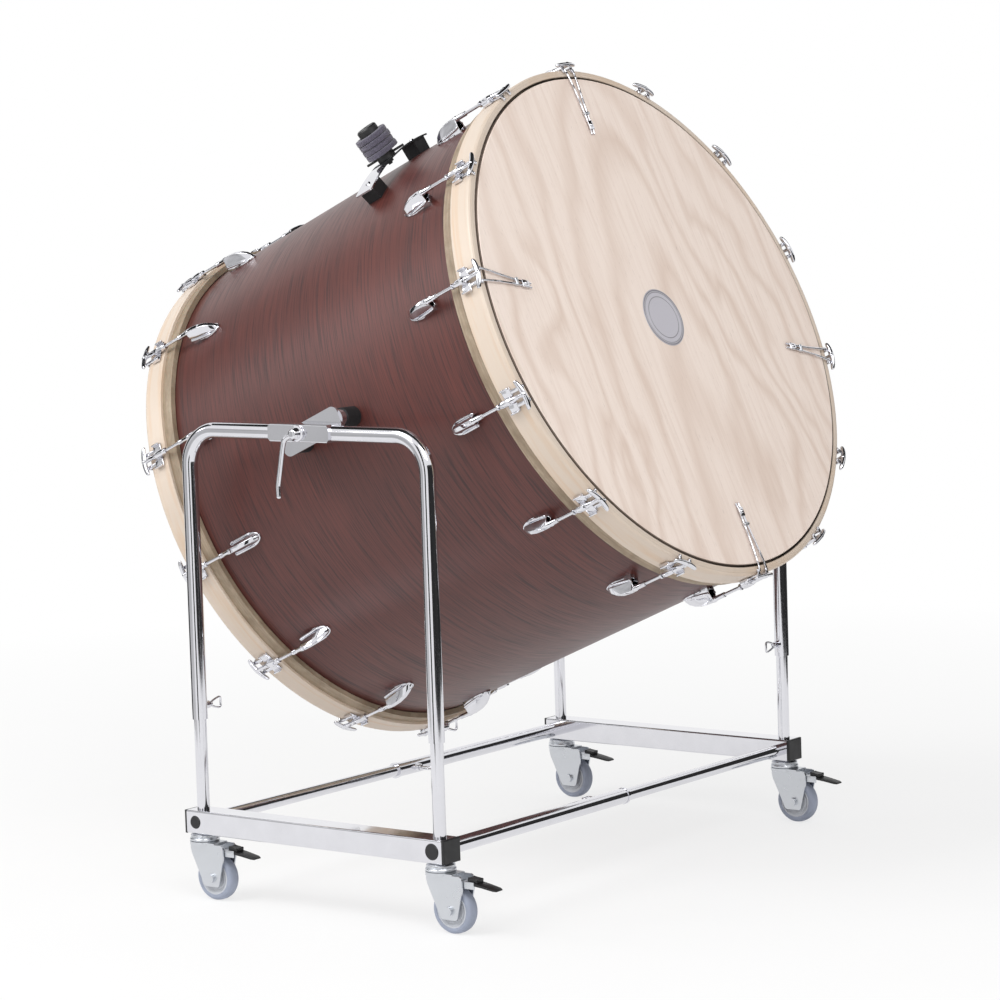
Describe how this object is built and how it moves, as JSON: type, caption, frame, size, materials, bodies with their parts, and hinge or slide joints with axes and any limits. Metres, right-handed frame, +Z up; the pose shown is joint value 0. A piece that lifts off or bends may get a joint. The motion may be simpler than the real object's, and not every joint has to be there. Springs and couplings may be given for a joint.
{
  "type": "concert bass drum on tilting stand",
  "caption": "Large double-headed concert bass drum with a wooden front head, hung by its waist in a telescoping U-frame stand on braked swivel casters, with a cymbal post on its shell.",
  "frame": {"origin": "on the floor, at the middle of the stand, straight below the drum's tilt axis", "axes": "+X along the base beams to the side the wooden head faces, +Y along the tilt axis, +Z up"},
  "size_m": [1.1518, 1.1182, 1.4268],
  "materials": {
    "mahogany_shell": "satin mahogany stain",
    "maple": "clear satin lacquer",
    "birch_plywood": "smooth, unlacquered",
    "natural_skin": "natural, slightly marbled",
    "chrome": "bright",
    "zinc": "zinc plated",
    "black_plastic": "moulded",
    "black_rubber": "matt",
    "grey_rubber": "grey tread",
    "grey_nylon": "moulded",
    "grey_felt": "pressed felt"
  },
  "bodies": {
    "near_base": {"near_beam": "chrome", "near_beam_plastics": "black_plastic", "near_inner_legs": "chrome", "near_inner_cross_tube": "chrome", "near_outer_cross_tube": "chrome", "near_caster_heads": "zinc"},
    "far_base": {"far_beam": "chrome", "far_beam_plastics": "black_plastic", "far_inner_legs": "chrome", "far_inner_cross_tube": "chrome", "far_outer_cross_tube": "chrome", "far_caster_heads": "zinc"},
    "near_yoke": {"near_yoke": "chrome", "near_pivot_sleeve": "chrome"},
    "far_yoke": {"far_yoke": "chrome", "far_pivot_sleeve": "chrome"},
    "drum": {"drum_shell": "mahogany_shell", "front_skin_head": "natural_skin", "back_skin_head": "natural_skin", "flesh_hoops": "maple", "front_counter_hoop": "maple", "back_counter_hoop": "maple", "wooden_head": "birch_plywood", "tension_lugs": "chrome", "tension_nuts": "chrome", "hoop_claws": "chrome", "t_handle_rods": "chrome", "hold_down_clips": "chrome", "cymbal_strap": "chrome", "strap_blocks": "black_rubber", "cymbal_post": "black_plastic", "cymbal_felts": "grey_felt", "near_pivot_plate": "chrome", "far_pivot_plate": "chrome", "pivot_buffers": "black_rubber"},
    "cymbal_nut": {"cymbal_nut": "black_plastic"},
    "near_clamp_lever": {"near_clamp_lever": "chrome"},
    "far_clamp_lever": {"far_clamp_lever": "chrome"},
    "near_cross_wing_screw": {"near_cross_wing_screw": "chrome"},
    "far_cross_wing_screw": {"far_cross_wing_screw": "chrome"},
    "near_left_wing_screw": {"near_left_wing_screw": "chrome"},
    "near_right_wing_screw": {"near_right_wing_screw": "chrome"},
    "far_left_wing_screw": {"far_left_wing_screw": "chrome"},
    "far_right_wing_screw": {"far_right_wing_screw": "chrome"},
    "near_left_caster_fork": {"near_left_caster_fork": "zinc"},
    "near_left_caster_wheel": {"near_left_caster_tyre": "grey_rubber", "near_left_caster_hub": "grey_nylon"},
    "near_left_caster_pedal": {"near_left_caster_pedal": "black_plastic"},
    "near_right_caster_fork": {"near_right_caster_fork": "zinc"},
    "near_right_caster_wheel": {"near_right_caster_tyre": "grey_rubber", "near_right_caster_hub": "grey_nylon"},
    "near_right_caster_pedal": {"near_right_caster_pedal": "black_plastic"},
    "far_left_caster_fork": {"far_left_caster_fork": "zinc"},
    "far_left_caster_wheel": {"far_left_caster_tyre": "grey_rubber", "far_left_caster_hub": "grey_nylon"},
    "far_left_caster_pedal": {"far_left_caster_pedal": "black_plastic"},
    "far_right_caster_fork": {"far_right_caster_fork": "zinc"},
    "far_right_caster_wheel": {"far_right_caster_tyre": "grey_rubber", "far_right_caster_hub": "grey_nylon"},
    "far_right_caster_pedal": {"far_right_caster_pedal": "black_plastic"}
  },
  "joints": [
    {"name": "stand_width", "type": "slide", "parent": "near_base", "child": "far_base", "axis": [0, 1, 0], "range_m": [0, 0.12]},
    {"name": "near_height", "type": "slide", "parent": "near_base", "child": "near_yoke", "axis": [0, 0, 1], "range_m": [-0.05, 0.15]},
    {"name": "far_height", "type": "slide", "parent": "far_base", "child": "far_yoke", "axis": [0, 0, 1], "range_m": [-0.05, 0.15]},
    {"name": "drum_tilt", "type": "hinge", "parent": "near_yoke", "child": "drum", "pos_m": [0, 0, 0.817], "axis": [0, -1, 0], "range_deg": [-113.7, 66.3]},
    {"name": "near_clamp_lever_turn", "type": "hinge", "parent": "drum", "child": "near_clamp_lever", "pos_m": [0, -0.5235, 0.817], "axis": [0, -1, 0], "range_deg": [-60, 90]},
    {"name": "far_clamp_lever_turn", "type": "hinge", "parent": "far_yoke", "child": "far_clamp_lever", "pos_m": [0, 0.5235, 0.817], "axis": [0, 1, 0], "range_deg": [-60, 90]},
    {"name": "cymbal_nut_turn", "type": "hinge", "parent": "drum", "child": "cymbal_nut", "pos_m": [-0.07198, -0.22996, 1.3069], "axis": [-0.3621, -0.4339, 0.825], "continuous": true},
    {"name": "near_cross_wing_screw_turn", "type": "hinge", "parent": "near_base", "child": "near_cross_wing_screw", "pos_m": [0.261, -0.05, 0.13625], "axis": [-1, 0, 0], "continuous": true},
    {"name": "far_cross_wing_screw_turn", "type": "hinge", "parent": "far_base", "child": "far_cross_wing_screw", "pos_m": [-0.261, 0.05, 0.13625], "axis": [1, 0, 0], "continuous": true},
    {"name": "near_left_wing_screw_turn", "type": "hinge", "parent": "near_yoke", "child": "near_left_wing_screw", "pos_m": [-0.261, -0.5235, 0.336], "axis": [0, 1, 0], "continuous": true},
    {"name": "near_right_wing_screw_turn", "type": "hinge", "parent": "near_yoke", "child": "near_right_wing_screw", "pos_m": [0.261, -0.5235, 0.336], "axis": [0, 1, 0], "continuous": true},
    {"name": "far_left_wing_screw_turn", "type": "hinge", "parent": "far_yoke", "child": "far_left_wing_screw", "pos_m": [-0.261, 0.5235, 0.336], "axis": [0, -1, 0], "continuous": true},
    {"name": "far_right_wing_screw_turn", "type": "hinge", "parent": "far_yoke", "child": "far_right_wing_screw", "pos_m": [0.261, 0.5235, 0.336], "axis": [0, -1, 0], "continuous": true},
    {"name": "near_left_caster_swivel", "type": "hinge", "parent": "near_base", "child": "near_left_caster_fork", "pos_m": [-0.261, -0.5235, 0.09], "axis": [0, 0, 1], "continuous": true},
    {"name": "near_left_caster_roll", "type": "hinge", "parent": "near_left_caster_fork", "child": "near_left_caster_wheel", "pos_m": [-0.233, -0.5235, 0.04], "axis": [0, 1, 0], "continuous": true},
    {"name": "near_left_caster_brake", "type": "hinge", "parent": "near_left_caster_fork", "child": "near_left_caster_pedal", "pos_m": [-0.214, -0.5235, 0.084], "axis": [0, 1, 0], "range_deg": [0, 10]},
    {"name": "near_right_caster_swivel", "type": "hinge", "parent": "near_base", "child": "near_right_caster_fork", "pos_m": [0.261, -0.5235, 0.09], "axis": [0, 0, 1], "continuous": true},
    {"name": "near_right_caster_roll", "type": "hinge", "parent": "near_right_caster_fork", "child": "near_right_caster_wheel", "pos_m": [0.289, -0.5235, 0.04], "axis": [0, 1, 0], "continuous": true},
    {"name": "near_right_caster_brake", "type": "hinge", "parent": "near_right_caster_fork", "child": "near_right_caster_pedal", "pos_m": [0.308, -0.5235, 0.084], "axis": [0, 1, 0], "range_deg": [0, 10]},
    {"name": "far_left_caster_swivel", "type": "hinge", "parent": "far_base", "child": "far_left_caster_fork", "pos_m": [-0.261, 0.5235, 0.09], "axis": [0, 0, 1], "continuous": true},
    {"name": "far_left_caster_roll", "type": "hinge", "parent": "far_left_caster_fork", "child": "far_left_caster_wheel", "pos_m": [-0.233, 0.5235, 0.04], "axis": [0, 1, 0], "continuous": true},
    {"name": "far_left_caster_brake", "type": "hinge", "parent": "far_left_caster_fork", "child": "far_left_caster_pedal", "pos_m": [-0.214, 0.5235, 0.084], "axis": [0, 1, 0], "range_deg": [0, 10]},
    {"name": "far_right_caster_swivel", "type": "hinge", "parent": "far_base", "child": "far_right_caster_fork", "pos_m": [0.261, 0.5235, 0.09], "axis": [0, 0, 1], "continuous": true},
    {"name": "far_right_caster_roll", "type": "hinge", "parent": "far_right_caster_fork", "child": "far_right_caster_wheel", "pos_m": [0.289, 0.5235, 0.04], "axis": [0, 1, 0], "continuous": true},
    {"name": "far_right_caster_brake", "type": "hinge", "parent": "far_right_caster_fork", "child": "far_right_caster_pedal", "pos_m": [0.308, 0.5235, 0.084], "axis": [0, 1, 0], "range_deg": [0, 10]}
  ],
  "couplings": [
    {"joint": "far_height", "follows": "near_height", "ratio": 1}
  ]
}
